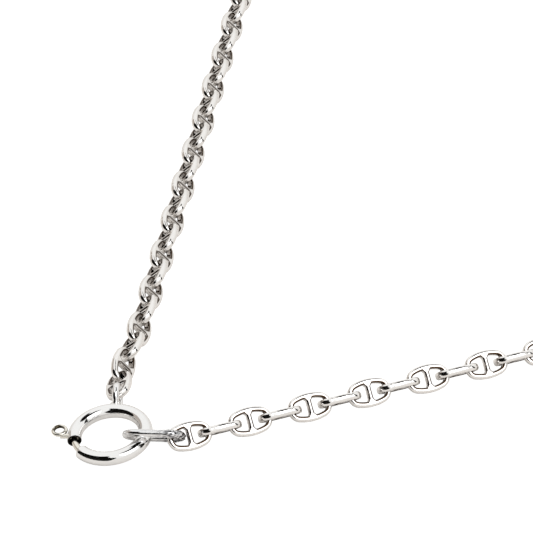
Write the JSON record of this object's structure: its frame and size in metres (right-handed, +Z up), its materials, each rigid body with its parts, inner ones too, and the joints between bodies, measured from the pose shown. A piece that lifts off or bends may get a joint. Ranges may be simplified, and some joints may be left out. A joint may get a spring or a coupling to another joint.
{
  "type": "mariner link chain",
  "caption": "Neck chain of interlocked oval anchor links with a centre bar, lying as a whole loop, closed by a bolt ring clasp with a thumb eyelet and an oval jump ring.",
  "frame": {"origin": "middle of the loop's outline, on the flat surface the chain lies on", "axes": "+Z up, +Y from the clasp to the far end of the loop along its long axis, +X to the right as seen from the clasp"},
  "size_m": [0.1192, 0.1774, 0.0032],
  "materials": {
    "links": "polished silver",
    "clasp": "polished silver",
    "bolt": "polished silver",
    "jump": "polished silver, matt where soldered"
  },
  "bodies": {
    "necklace": {"anchor_chain": "links", "clasp_ring": "clasp", "jump_ring": "jump"},
    "bolt": {"clasp_bolt": "bolt"}
  },
  "joints": [
    {"name": "bolt_slide", "type": "hinge", "parent": "necklace", "child": "bolt", "pos_m": [-0.00185, -0.08419, 0.00121], "axis": [0.0572, 0.1076, -0.9925], "range_deg": [0, 36], "stiffness_Nm_per_rad": 0.004, "springref_deg": -14.32}
  ]
}
